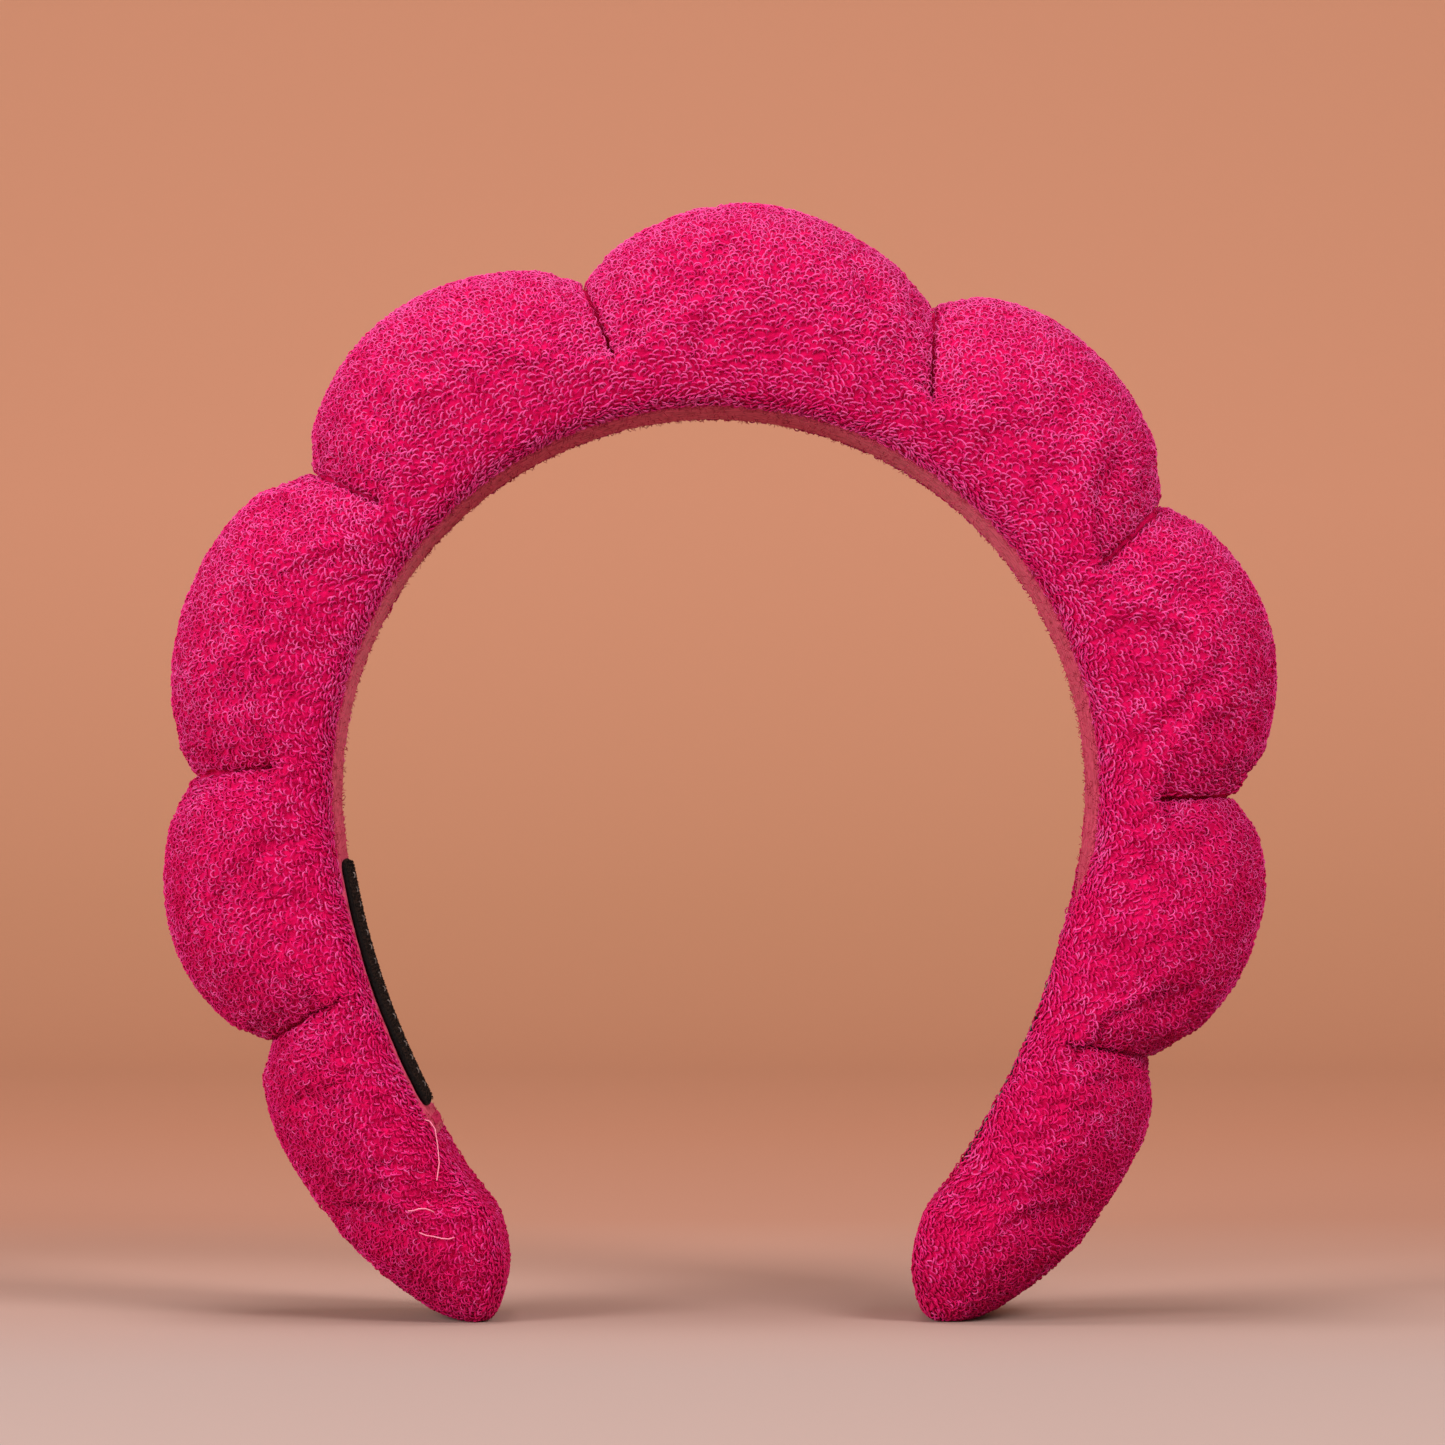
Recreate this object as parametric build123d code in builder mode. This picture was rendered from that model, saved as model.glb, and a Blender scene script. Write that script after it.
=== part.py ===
"""Puffy spa headband: an open terry hoop in nine cinched puffs, standing on its two tips.

Z is up, the wearer's head goes in along Y, and the origin is on the floor under the middle.
Places round the band are stations: millimetres along the lining from the top of the opening,
negative to the left and positive to the right. A lean is the angle, in degrees from straight
up, of a section plane that crosses the band there, negative to the left.
"""
from build123d import *
import os
from math import cos, degrees, pi, radians, sin, sqrt

# the head opening, as the lining bounds it
OPENING_RADIUS = 63.3
CENTRE_HEIGHT = 88.6
ROUND_HALF_ANGLE = 98.0
LEG_RADIUS = 132.0
LEG_LENGTH = 68.9
ROUND_RUN = OPENING_RADIUS * radians(ROUND_HALF_ANGLE)
LINING_END = ROUND_RUN + LEG_LENGTH

# the layers, from the wearer's side outwards
LINING_THICKNESS = 1.4
LINING_HALF_WIDTH = 14.0
LINING_STOPS = {"left": 159.5, "right": 171.5}
HOOP_BOTTOM = 1.5
HOOP_THICKNESS = 1.6
HOOP_HALF_WIDTH = 11.0
HOOP_END_SHORT = 5.0
HOOP_END_RADIUS = 8.0
CHANNEL_DEPTH = 3.2
CHANNEL_HALF_WIDTH = 15.0
HOOP_SLOT_HALF_WIDTH = 11.5
CAVITY_BOTTOM = 2.7
FOAM_BOTTOM = 3.3
COVER_WALL = 2.0
FOAM_CLEARANCE = 0.15
RIM_HALF_WIDTH = 16.2
RIM_SET_BACK = 0.6
RIM_TRIM = 4.0

# cinches: station, lean, and the notch's distance from the middle of the opening
CINCHES = {
    "left_4": (-131.5, -122.0, 85.5),
    "left_3": (-94.5, -95.9, 88.1),
    "left_2": (-52.4, -63.4, 87.0),
    "left_1": (-13.4, -20.7, 88.1),
    "right_1": (37.2, 3.0, 89.6),
    "right_2": (68.7, 46.0, 89.1),
    "right_3": (101.4, 88.3, 88.2),
    "right_4": (141.7, 101.0, 86.2),
}

# puffs between two cinches: lower-numbered cinch, higher-numbered one, furthest reach
PUFFS = {
    "left_3": ("left_4", "left_3", 94.0),
    "left_2": ("left_3", "left_2", 95.4),
    "left_1": ("left_2", "left_1", 98.0),
    "crown": ("left_1", "right_1", 99.0),
    "right_1": ("right_1", "right_2", 98.0),
    "right_2": ("right_2", "right_3", 96.6),
    "right_3": ("right_3", "right_4", 93.8),
}
PUFF_STEPS = (0.0, 0.17, 0.5, 0.83, 1.0)
CINCH_HALF_DEPTH = 18.5
PUFF_HALF_DEPTH = 22.0
WIDEST_AT = 0.42

# end puffs, from the last cinch to the foot: share of the run, lean, reach, half depth
END_PUFFS = {
    "left_4": ("left_4", ((0.28, -112.0, 90.7, 20.5), (0.62, -101.0, 94.4, 21.0), (0.93, -93.0, 96.2, 19.5))),
    "right_4": ("right_4", ((0.28, 100.0, 90.1, 20.5), (0.60, 97.0, 93.8, 21.0), (0.92, 93.0, 95.6, 19.5))),
}
# the rounded foot: height, inner x, outer x, half depth, half width of its flat side
FOOT_SECTIONS = ((9.5, 34.4, 58.6, 17.8, 12.5), (3.4, 35.2, 51.8, 15.8, 10.5), (0.0, 37.0, 46.5, 12.5, 8.5))
FOOT_WALL = 2.4

# the hoop bends at the second cinch of each side, which is where the legs hinge
FLEX_CINCHES = ("left_2", "right_2")
FLEX_HALF_NOTCH = 6.3
FLEX_HALF_GAP = 0.3

# each cinch's winding of thread lies between two covers, or on the end of the leg's cover
THREAD_WIDTH = 0.9
THREAD_ROOM = 1.1
THREAD_INSET = 0.2
THREAD_DEPTH = 1.0

# grip strips on the legs: distance along the lining from its top, length
GRIPS = {"left": (111.0, 44.0), "right": (123.0, 44.0)}
GRIP_THICKNESS = 0.9
GRIP_HALF_WIDTH = 13.0
GRIP_CLEARANCE = 0.2
GRIP_END_RADIUS = 5.0
STITCH_PITCH = 2.5
STITCH_LENGTH = 1.7
STITCH_WIDTH = 0.5
STITCH_THICKNESS = 0.35
STITCH_ROW_Y = 3.0
STITCH_END_MARGIN = 3.0

# the seam along each rim, and the hem at the lower end of the lining
RIM_THREAD_NEAR = 14.15
RIM_THREAD_FAR = 14.85
RIM_THREAD_BOTTOM = 0.75
RIM_THREAD_TOP = 1.35
HEM_STITCHES = 7
HEM_STITCH_PITCH = 3.6
HEM_FROM_END = 2.0


SIDES = {"left": -1, "right": 1}


def lining_point(station, height=0.0):
    """Where a station lies in X and Z, raised off the lining, and the normal's angle there."""
    side = -1 if station < 0 else 1
    run = abs(station)
    radius = OPENING_RADIUS
    angle = run / OPENING_RADIUS
    centre_x = 0.0
    centre_z = CENTRE_HEIGHT
    if run > ROUND_RUN:
        radius = LEG_RADIUS
        turn = radians(ROUND_HALF_ANGLE)
        angle = turn + (run - ROUND_RUN) / LEG_RADIUS
        centre_x = (OPENING_RADIUS - LEG_RADIUS) * sin(turn)
        centre_z = CENTRE_HEIGHT + (OPENING_RADIUS - LEG_RADIUS) * cos(turn)
    x = centre_x + (radius + height) * sin(angle)
    z = centre_z + (radius + height) * cos(angle)
    return side * x, z, side * degrees(angle)


def section_plane(station, lean):
    """The plane that crosses the band at a station, its X pointing out from the opening."""
    x, z, _ = lining_point(station)
    outward = (sin(radians(lean)), 0, cos(radians(lean)))
    along = (cos(radians(lean)), 0, -sin(radians(lean)))
    return Plane(origin=(x, 0, z), x_dir=outward, z_dir=along)


def thickness_to(station, lean, reach):
    """How thick the band is along a lean, when its outside is this far from the middle."""
    x, z, _ = lining_point(station)
    z = z - CENTRE_HEIGHT
    along = x * sin(radians(lean)) + z * cos(radians(lean))
    return sqrt(along**2 + reach**2 - x**2 - z**2) - along


def puff_end(cinch, way):
    """Station, lean and reach of the puff end on one side of a cinch, way being 1 or -1."""
    station, lean, reach = CINCHES[cinch]
    if cinch not in FLEX_CINCHES:
        return station + way * THREAD_ROOM / 2, lean, reach
    gap = FLEX_HALF_GAP
    if way * station > 0:
        gap += THREAD_ROOM
    return station + way * gap, lean + way * FLEX_HALF_NOTCH, reach


def puff_sections(name):
    """The planes, thicknesses, half depths and flat half widths of a puff between cinches."""
    low, high, reach = PUFFS[name]
    low_station, low_lean, low_reach = puff_end(low, 1)
    high_station, high_lean, high_reach = puff_end(high, -1)
    sections = []
    for step in PUFF_STEPS:
        station = low_station + step * (high_station - low_station)
        lean = low_lean + step * (high_lean - low_lean)
        notch = low_reach + step * (high_reach - low_reach)
        swell = sin(pi * step) ** 0.7
        outside = notch + swell * (reach - notch)
        half_depth = CINCH_HALF_DEPTH + swell * (PUFF_HALF_DEPTH - CINCH_HALF_DEPTH)
        thickness = thickness_to(station, lean, outside)
        sections.append((section_plane(station, lean), thickness, half_depth, RIM_HALF_WIDTH))
    return sections


def end_puff_sections(name):
    """The same for a puff at the end of a leg, down to its last section above the foot."""
    cinch, rows = END_PUFFS[name]
    side = SIDES[cinch.split("_")[0]]
    first, first_lean, first_reach = puff_end(cinch, side)
    run = side * LINING_END - first
    thickness = thickness_to(first, first_lean, first_reach)
    sections = [(section_plane(first, first_lean), thickness, CINCH_HALF_DEPTH, RIM_HALF_WIDTH)]
    for share, lean, reach, half_depth in rows:
        station = first + share * run
        thickness = thickness_to(station, lean, reach)
        sections.append((section_plane(station, lean), thickness, half_depth, RIM_HALF_WIDTH - 1.2 * share))
    return sections


def foot_sections(side, raised=0.0):
    """The rounded foot's level sections, the last of them raised off the floor."""
    sections = []
    for height, inner, outer, half_depth, flat in FOOT_SECTIONS:
        level = Plane(origin=(side * inner, 0, max(height, raised)), x_dir=(side, 0, 0), z_dir=(0, 0, -side))
        if height >= raised or height == 0:
            sections.append((level, outer - inner, half_depth, flat))
    return sections


def loft_sections(sections, inset=0.0, bottom=0.0, mode=Mode.ADD):
    """Loft a D-shaped solid through sections, flat on the wearer's side."""
    profiles = []
    for plane, thickness, half_depth, flat in sections:
        top = thickness - inset
        side = half_depth - inset
        edge = flat - inset
        waist = WIDEST_AT * thickness
        with BuildSketch(plane) as profile:
            with BuildLine():
                Spline((bottom, edge), (waist, side), (top, 0), (waist, -side), (bottom, -edge))
                Line((bottom, -edge), (bottom, edge))
            make_face()
        profiles.append(profile.sketch.face())
    loft(profiles, mode=mode)


def lining_span(low, high):
    """The stretch between two stations that the lining covers, short of both tips."""
    return max(low, -LINING_STOPS["left"]), min(high, LINING_STOPS["right"])


def ribbon_line(low, high, height):
    """Arcs along the band at a height off the lining, from one station to another."""
    stops = [low, high]
    for change in (-ROUND_RUN, ROUND_RUN):
        if min(low, high) < change < max(low, high):
            stops.append(change)
    stops.sort(reverse=low > high)
    for start, end in zip(stops, stops[1:]):
        points = [lining_point(s, height)[:2] for s in (start, (start + end) / 2, end)]
        ThreePointArc(*points)


def ribbon(low, high, bottom, top, low_y, high_y, mode=Mode.ADD):
    """A strip that follows the lining from station to station, between two depths in Y."""
    with BuildSketch(Plane.XZ.offset(-high_y)) as outline:
        with BuildLine():
            ribbon_line(low, high, bottom)
            Line(lining_point(high, bottom)[:2], lining_point(high, top)[:2])
            ribbon_line(high, low, top)
            Line(lining_point(low, top)[:2], lining_point(low, bottom)[:2])
        make_face()
    extrude(outline.sketch, amount=high_y - low_y, mode=mode)


def finish(piece, name):
    """Label a finished piece and write it."""
    piece.part.label = name
    export_step(piece.part, f"parts/{name}.step")


def make_cover(name, sections, foot=None):
    """The terry cover of one puff: a tube that is open along the lining, closed round a tip."""
    outside = sections + (foot_sections(foot) if foot else [])
    inside = sections + (foot_sections(foot, FOOT_WALL) if foot else [])
    half_width = CHANNEL_HALF_WIDTH
    slot = HOOP_SLOT_HALF_WIDTH
    low, high = lining_span(-LINING_END, LINING_END)
    with BuildPart() as cover:
        loft_sections(outside)
        loft_sections(inside, COVER_WALL, CAVITY_BOTTOM, Mode.SUBTRACT)
        ribbon(low, high, -1, CHANNEL_DEPTH, -half_width, half_width, Mode.SUBTRACT)
        ribbon(-LINING_END, LINING_END, LINING_THICKNESS, CHANNEL_DEPTH, -slot, slot, Mode.SUBTRACT)
        reach = PUFF_HALF_DEPTH
        ribbon(-LINING_END, LINING_END, -RIM_TRIM, RIM_SET_BACK, -reach, reach, Mode.SUBTRACT)
    finish(cover, f"cover_{name}")


def make_filling(name, sections, foot=None):
    """The foam filling of one puff."""
    inset = COVER_WALL + FOAM_CLEARANCE
    inside = sections + (foot_sections(foot, FOOT_WALL + FOAM_CLEARANCE) if foot else [])
    half_width = CHANNEL_HALF_WIDTH
    with BuildPart() as filling:
        loft_sections(inside, inset, FOAM_BOTTOM)
        ribbon(-LINING_END, LINING_END, -1, FOAM_BOTTOM, -half_width, half_width, Mode.SUBTRACT)
    finish(filling, f"filling_{name}")


def make_puffs():
    """Every puff's cover and filling."""
    for name in PUFFS:
        sections = puff_sections(name)
        make_cover(name, sections)
        make_filling(name, sections)
    for name in END_PUFFS:
        sections = end_puff_sections(name)
        foot = SIDES[name.split("_")[0]]
        make_cover(name, sections, foot)
        make_filling(name, sections, foot)


def make_cinch_thread(name):
    """The winding of thread that draws one cinch in, as a C-shaped band over the puffs."""
    station, lean, reach = CINCHES[name]
    side = SIDES[name.split("_")[0]]
    if name in FLEX_CINCHES:
        station += side * (FLEX_HALF_GAP + THREAD_ROOM / 2)
        lean += side * FLEX_HALF_NOTCH
    thickness = thickness_to(station, lean, reach)
    waist = WIDEST_AT * thickness
    edge = RIM_HALF_WIDTH
    outlines = []
    for inset in (THREAD_INSET, THREAD_INSET + THREAD_DEPTH):
        half_depth = CINCH_HALF_DEPTH - inset
        top = thickness - inset
        low_edge = edge - inset
        points = (CHANNEL_DEPTH, low_edge), (waist, half_depth), (top, 0), (waist, -half_depth)
        outlines.append((*points, (CHANNEL_DEPTH, -low_edge)))
    outer, inner = outlines
    with BuildPart() as thread:
        with BuildSketch(section_plane(station, lean)):
            with BuildLine():
                Spline(*outer)
                Line(outer[-1], inner[-1])
                Spline(*inner)
                Line(inner[0], outer[0])
            make_face()
        extrude(amount=THREAD_WIDTH / 2, both=True)
    finish(thread, f"cinch_thread_{name}")


def body_stations():
    """First and last station of the crown's and each leg's length of hoop, lining and seam."""
    left, right = (CINCHES[name][0] for name in FLEX_CINCHES)
    gap = FLEX_HALF_GAP
    return {
        "left": (-LINING_END, left - gap),
        "crown": (left + gap, right - gap),
        "right": (right + gap, LINING_END),
    }


def make_hoop(name, low, high):
    """A length of the springy plastic hoop, with rounded corners at its free end."""
    low = max(low, -LINING_END + HOOP_END_SHORT)
    high = min(high, LINING_END - HOOP_END_SHORT)
    top = HOOP_BOTTOM + HOOP_THICKNESS
    with BuildPart() as hoop:
        ribbon(low, high, HOOP_BOTTOM, top, -HOOP_HALF_WIDTH, HOOP_HALF_WIDTH)
        if name != "crown":
            corners = hoop.edges().filter_by(lambda edge: edge.length < HOOP_THICKNESS + 0.1)
            fillet(corners.sort_by(Axis.Z)[:2], HOOP_END_RADIUS)
    finish(hoop, f"hoop_{name}")


def grip_stitch_stations(first, length):
    """Middle stations of the stitches along a grip strip."""
    count = int((length - 2 * STITCH_END_MARGIN) / STITCH_PITCH) + 1
    start = first + (length - (count - 1) * STITCH_PITCH) / 2
    return [start + number * STITCH_PITCH for number in range(count)]


def stitch(station, y, mode=Mode.ADD):
    """One stitch that lies along the band, its face flush with the fabric round it."""
    low = station - STITCH_LENGTH / 2
    high = station + STITCH_LENGTH / 2
    low_y = y - STITCH_WIDTH / 2
    high_y = y + STITCH_WIDTH / 2
    ribbon(low, high, 0, STITCH_THICKNESS, low_y, high_y, mode)


def hem_stitch_places(name):
    """Station and Y of each stitch in the hem at the lower end of the lining."""
    station = SIDES[name] * (LINING_STOPS[name] - HEM_FROM_END)
    middle = (HEM_STITCHES - 1) / 2
    return [(station, (number - middle) * HEM_STITCH_PITCH) for number in range(HEM_STITCHES)]


def make_lining(name, low, high):
    """A length of the lining, recessed under a grip strip and pocketed for its hem stitches."""
    half_width = LINING_HALF_WIDTH
    low, high = lining_span(low, high)
    with BuildPart() as lining:
        ribbon(low, high, 0, LINING_THICKNESS, -half_width, half_width)
        if name in GRIPS:
            first, length = grip_stations(name)
            reach = GRIP_HALF_WIDTH + GRIP_CLEARANCE
            start = first - GRIP_CLEARANCE
            end = first + length + GRIP_CLEARANCE
            ribbon(start, end, -1, GRIP_THICKNESS, -reach, reach, Mode.SUBTRACT)
            for station, y in hem_stitch_places(name):
                stitch(station, y, Mode.SUBTRACT)
    finish(lining, f"lining_{name}")


def grip_stations(name):
    """Lower station and length of a leg's grip strip."""
    from_top, length = GRIPS[name]
    first = from_top if name == "right" else -from_top - length
    return first, length


def make_grip(name):
    """A leg's grip strip of hook tape, with pockets for its stitches."""
    first, length = grip_stations(name)
    with BuildPart() as grip:
        ribbon(first, first + length, 0, GRIP_THICKNESS, -GRIP_HALF_WIDTH, GRIP_HALF_WIDTH)
        corners = grip.edges().filter_by(lambda edge: edge.length < GRIP_THICKNESS + 0.1)
        fillet(corners, GRIP_END_RADIUS)
        for station in grip_stitch_stations(first, length):
            stitch(station, STITCH_ROW_Y, Mode.SUBTRACT)
    finish(grip, f"grip_strip_{name}")


def make_grip_stitching(name):
    """The row of stitches along a grip strip."""
    first, length = grip_stations(name)
    with BuildPart() as stitching:
        for station in grip_stitch_stations(first, length):
            stitch(station, STITCH_ROW_Y)
    finish(stitching, f"grip_stitching_{name}")


def make_hem_stitching(name):
    """The stitches across the lower end of the lining."""
    with BuildPart() as stitching:
        for station, y in hem_stitch_places(name):
            stitch(station, y)
    finish(stitching, f"hem_stitching_{name}")


def make_rim_thread(name, low, high):
    """The seam thread along the front rim and the back rim."""
    low, high = lining_span(low, high)
    with BuildPart() as thread:
        for low_y, high_y in ((-RIM_THREAD_FAR, -RIM_THREAD_NEAR), (RIM_THREAD_NEAR, RIM_THREAD_FAR)):
            ribbon(low, high, RIM_THREAD_BOTTOM, RIM_THREAD_TOP, low_y, high_y)
    finish(thread, f"rim_thread_{name}")


os.makedirs("parts", exist_ok=True)
make_puffs()
for cinch_name in CINCHES:
    make_cinch_thread(cinch_name)
for body_name, (first_station, last_station) in body_stations().items():
    make_hoop(body_name, first_station, last_station)
    make_lining(body_name, first_station, last_station)
    make_rim_thread(body_name, first_station, last_station)
for leg_name in GRIPS:
    make_grip(leg_name)
    make_grip_stitching(leg_name)
    make_hem_stitching(leg_name)
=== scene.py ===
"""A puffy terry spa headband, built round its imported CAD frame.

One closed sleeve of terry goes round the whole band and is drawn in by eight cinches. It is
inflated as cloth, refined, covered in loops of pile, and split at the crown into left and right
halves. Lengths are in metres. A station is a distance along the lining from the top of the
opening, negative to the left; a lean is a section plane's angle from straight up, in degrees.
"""

import bpy
import numpy as np
from math import cos, pi, radians, sin
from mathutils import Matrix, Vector, noise


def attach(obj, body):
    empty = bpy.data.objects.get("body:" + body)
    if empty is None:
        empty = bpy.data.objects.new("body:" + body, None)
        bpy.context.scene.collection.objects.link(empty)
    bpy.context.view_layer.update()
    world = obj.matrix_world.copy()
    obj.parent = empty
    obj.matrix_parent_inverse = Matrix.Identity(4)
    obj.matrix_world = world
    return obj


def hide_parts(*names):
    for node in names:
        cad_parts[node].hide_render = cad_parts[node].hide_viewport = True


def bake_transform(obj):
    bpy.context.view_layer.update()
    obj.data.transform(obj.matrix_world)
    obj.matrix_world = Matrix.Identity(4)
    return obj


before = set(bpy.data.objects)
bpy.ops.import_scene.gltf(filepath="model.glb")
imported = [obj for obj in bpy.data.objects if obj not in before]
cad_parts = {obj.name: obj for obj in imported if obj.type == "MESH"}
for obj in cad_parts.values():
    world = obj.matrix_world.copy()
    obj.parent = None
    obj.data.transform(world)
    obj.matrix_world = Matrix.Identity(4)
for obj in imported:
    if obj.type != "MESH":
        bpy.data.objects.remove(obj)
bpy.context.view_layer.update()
random = np.random.default_rng(11)
MM = 0.001

# the head opening, as the lining bounds it
OPENING_RADIUS = 63.3 * MM
CENTRE_HEIGHT = 88.6 * MM
ROUND_ANGLE = radians(98)
LEG_RADIUS = 132 * MM
LEG_LENGTH = 68.9 * MM
ROUND_RUN = OPENING_RADIUS * ROUND_ANGLE
LINING_END = ROUND_RUN + LEG_LENGTH
LINING_STOPS = {"left": -159.5 * MM, "right": 171.5 * MM}

# cinches from left to right: station, lean, the notch's distance from the opening's middle
CINCHES = (
    (-131.5 * MM, -122.0, 85.7 * MM),
    (-94.5 * MM, -95.9, 87.8 * MM),
    (-52.4 * MM, -63.4, 86.4 * MM),
    (-13.4 * MM, -20.7, 88.2 * MM),
    (37.2 * MM, 3.0, 89.4 * MM),
    (68.7 * MM, 46.0, 89.4 * MM),
    (101.4 * MM, 88.3, 87.6 * MM),
    (141.7 * MM, 101.0, 86.0 * MM),
)
# how far each of the seven puffs between them reaches from the opening's middle
REACHES = [reach * MM for reach in (94.8, 94.8, 97.4, 99.3, 98.1, 97.8, 94.7)]
# end puffs, from the last cinch to the leg's end: share of the run, outer x and outer height in mm
LEFT_END = (
    (0.12, 75.8, 41.2),
    (0.3, 75.5, 36.6),
    (0.5, 73.8, 30.8),
    (0.7, 70.8, 25.1),
    (0.85, 67.9, 21.2),
    (1.0, 64.5, 16.9),
)
RIGHT_END = (
    (0.12, 73.5, 41.0),
    (0.3, 73.9, 36.4),
    (0.5, 72.9, 31.0),
    (0.7, 70.5, 26.0),
    (0.85, 67.9, 21.6),
    (1.0, 64.6, 16.9),
)
# the rounded foot, downwards, in mm: inner x, inner height, outer x, outer height, half depth and
# the half width of its flat side
FOOT = (
    (34.9, 13.0, 61.4, 12.6, 18.9, 13.4),
    (34.4, 9.0, 57.6, 8.6, 17.8, 12.4),
    (34.8, 5.6, 53.2, 5.2, 16.2, 11.0),
    (35.6, 2.7, 49.0, 2.4, 14.4, 9.4),
    (36.6, 1.1, 45.9, 1.0, 12.6, 7.8),
    (38.0, 0.3, 43.6, 0.3, 10.8, 6.2),
)
# the step from row to row of the foot, as a share of the same run
FOOT_STEP = 0.1

# sections: how high up they are widest, and how quickly a puff swells outwards and sideways
PUFF_HALF_DEPTH = 22.0 * MM
END_HALF_DEPTH = 21.0 * MM
CINCH_HALF_DEPTH = 16.5 * MM
FLAT_HALF_WIDTH = 15.4 * MM
WIDEST_AT = 0.42
PUFF_ARC = 0.74
PUFF_SIDES = 0.34
RIM_SWELL = 0.9
END_SIDES_RUN = 0.3
END_FLAT_LOSS = 1.4 * MM
END_DEPTH_LOSS = 1.8 * MM
# a cinch draws a section in from the first of these shares of its thickness, fully from the second
CREASE_STARTS = 0.26
CREASE_FULL = 0.46
RIM_HELD_TO = 0.10
PILE_HEIGHT = 0.95 * MM
LINING_BED = 1.3 * MM
RIM_SET_BACK = 0.9 * MM
# the right leg's end is turned a little about its own length, and its rims stand higher
LEG_TURN = radians(4)
TURN_STARTS = 108 * MM
TURN_ENDS = 124 * MM
RIM_RISE = 1.3 * MM
# the sleeve's grid: its sections bunch towards the cinches, and a foot's bottom closes in rings
COLUMN_STEP = 2.3 * MM
PUFF_RUN_EXCESS = 1.35
EVEN_SHARE = 0.35
END_PUFF_COLUMNS = 44
END_PUFF_USED = 21
LEG_SHARES = np.concatenate((np.linspace(0.49, 1.5, 24), (1.55, 1.6)))
FOOT_RINGS = (0.72, 0.4, 0.1)
END_RUN = 40 * MM
FOOT_RUN = 35 * MM
FOOT_BOTTOM = 22 * MM
FOOT_HELD_FROM = 18 * MM
REFINEMENT = 3
CLOTH_FRAMES = 16
CLOTH_PRESSURE = 1.0
CLOTH_EXCESS = 0.028
CLOTH_CAP = 1.0 * MM
CLOTH_SETTLING = 0.8
CLOTH_BLURS = 24
# the cloth is held fully as near to a cinch as the first, and is free beyond the second
CREASE_HOLD = (0.3 * MM, 6.0 * MM)
LUMP_HEIGHT = 0.16 * MM
BIG_LUMPS = 14 * MM
SMALL_LUMPS = 5 * MM
FLAT_STEPS = 8
CORNER_STEPS = 8
CROWN_STEPS = 28

FOAM_INSET = 2.8 * MM
FOAM_BOTTOM = 3.5 * MM
FOAM_HALF_WIDTH = 12.5 * MM
# the first and last share of a puff's run that its foam fills, and how many sections it has
FOAM_PUFF_SHARES = (0.04, 0.96, 24)
FOAM_END_SHARES = (0.05, 1.22, 24)

# where long pieces split in two
SPLIT_STATION = 12 * MM

# loops of pile: their spacing along a row, and the rows' in steps of the fine grid; their form, and
# how they turn, stray and vary
LOOP_SPACING = 1.06 * MM
LOOP_ROW = 1.16
LOOP_WIDTH = 1.02 * MM
LOOP_HEIGHT = 0.55 * MM
LOOP_FALL = 0.55 * MM
LOOP_ROOT = 0.05 * MM
LOOP_RADIUS = 0.15 * MM
LOOP_TURN = 0.3
LOOP_DRIFT = 1.7
LOOP_SCATTER = 0.6
LOOP_STRAY = 0.22 * MM
LOOP_UNEVEN = 0.16
LOOP_STEPS = 6
LOOP_AHEAD = 0.3 * MM
DRIFT_SIZE = 9 * MM
MOTTLE_SIZE = 6 * MM
# no loops this close to a cinch, where the section is drawn in by at least this share
CREASE_CLEAR = 0.5 * MM
DEEP_CREASE = 0.6

LINING_HALF_WIDTH = 14.7 * MM
LINING_STEP = 1.2 * MM
LINING_ROLL = 0.8 * MM
NAP_FIBRES = 5200
NAP_ON_EDGES = 0.75
NAP_EDGE_DEPTH = 0.7 * MM
CREASE_THREAD_SHARE = 0.75
CREASE_THREAD_DEPTH = 1.1 * MM
CREASE_THREAD_RADIUS = 0.2 * MM
LOOSE_THREAD_RADIUS = 0.11 * MM
LOOSE_LIFT = 1.15 * MM
LOOSE_LIFT_ENDS = 0.5 * MM
GRIP_STARTS = {"left": -111.0 * MM, "right": 123.0 * MM}
GRIP_LENGTH = 44.0 * MM
GRIP_HALF_WIDTH = 13.0 * MM
GRIP_HEIGHT = 0.75 * MM
GRIP_CORNER = 4 * MM
GRIP_STITCH_ROW = 3.0 * MM
STITCH_PITCH = 2.5 * MM
HOOK_PITCH = 0.6 * MM
HOOK_REACH = 0.17 * MM
HOOK_RADIUS = 0.05 * MM
HOOK_STEPS = 4
HEM_STITCHES = 7
HEM_PITCH = 3.6 * MM
RIM_STITCH_PITCH = 2.6 * MM
RIM_STITCH_DEPTH = 15.0 * MM
# one stitch: shares of its length from its middle, and how high it stands there
STITCH_SHAPE = (
    (-0.5, -0.35 * MM),
    (-0.36, 0.05 * MM),
    (0, 0.16 * MM),
    (0.36, 0.05 * MM),
    (0.5, -0.35 * MM),
)
# threads that have pulled loose on the left end puff: places in mm from the middle of the opening
LOOSE_THREADS = (
    ((-48.6, -54.6), (-47.4, -54.9), (-46.5, -56.2), (-46.1, -58.6), (-45.7, -61.7), (-46.1, -64.6)),
    ((-50.8, -69.6), (-49.9, -69.5), (-49.0, -69.2), (-47.9, -69.2), (-47.0, -69.5), (-46.6, -69.8)),
    ((-49.0, -73.2), (-47.8, -73.6), (-46.6, -73.8), (-45.3, -74.1), (-44.1, -74.2), (-43.2, -74.0)),
)
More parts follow.
